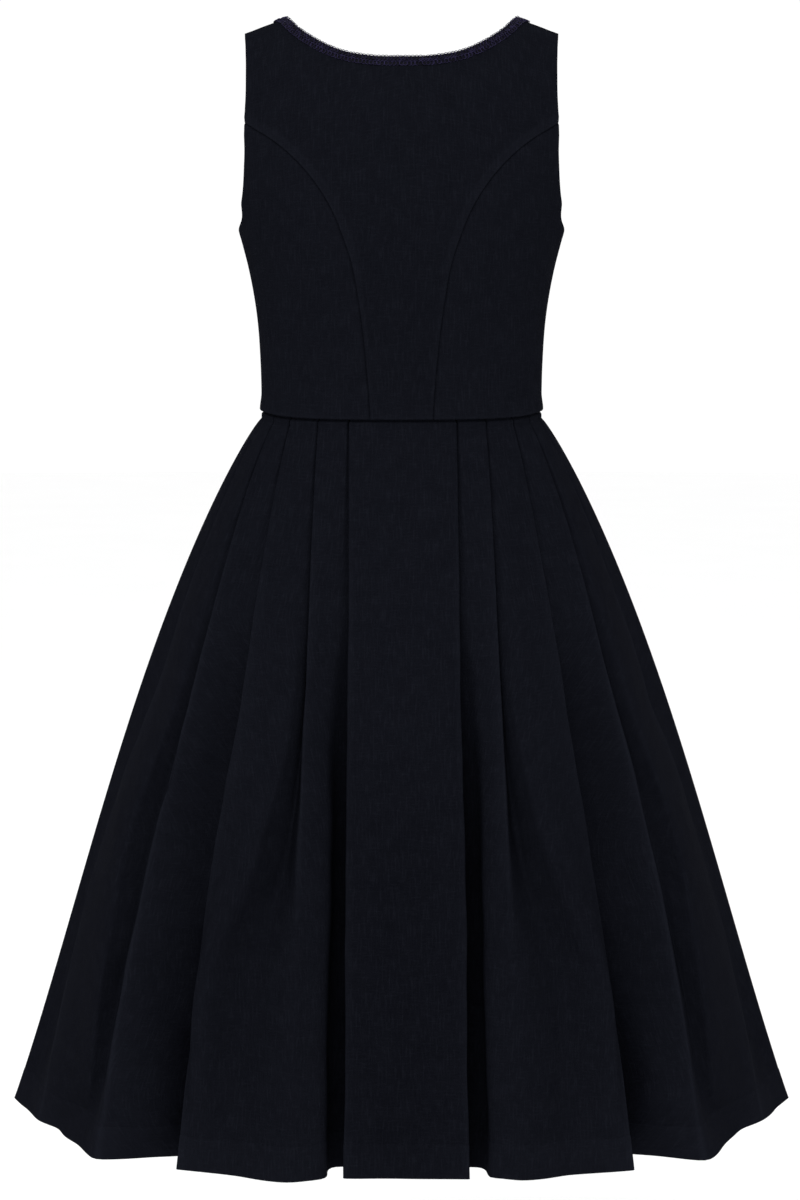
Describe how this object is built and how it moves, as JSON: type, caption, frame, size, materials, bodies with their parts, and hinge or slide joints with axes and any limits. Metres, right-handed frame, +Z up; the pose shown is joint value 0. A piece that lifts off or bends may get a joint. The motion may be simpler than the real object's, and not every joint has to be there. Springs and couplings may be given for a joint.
{
  "type": "dirndl",
  "caption": "Sleeveless dirndl dress filled out as worn: fitted bodice with curved seams and braided neckline on a flared, box and knife pleated skirt.",
  "frame": {"origin": "in the middle between the two shoulder seams, at the height where the straps rest on the wearer's shoulders", "axes": "+Z up, -Y out of the centre back, +Y out of the centre front, +X to the right of someone who looks at the back"},
  "size_m": [0.7692, 0.6427, 1.0625],
  "materials": {
    "bodice_cloth": "plain woven black cloth, matt",
    "side_cloth": "plain woven black cloth, matt",
    "skirt_cloth": "plain woven black cloth, matt",
    "neck_braid": "looped braid, dark violet blue, matt"
  },
  "bodies": {
    "root": {"back_centre": "bodice_cloth", "back_side_left": "side_cloth", "back_side_right": "side_cloth", "front_centre_left": "bodice_cloth", "front_centre_right": "bodice_cloth", "front_side_left": "side_cloth", "front_side_right": "side_cloth", "skirt_back": "skirt_cloth", "skirt_front": "skirt_cloth", "neck_trim_back": "neck_braid", "neck_trim_front_left": "neck_braid", "neck_trim_front_right": "neck_braid"}
  },
  "joints": []
}
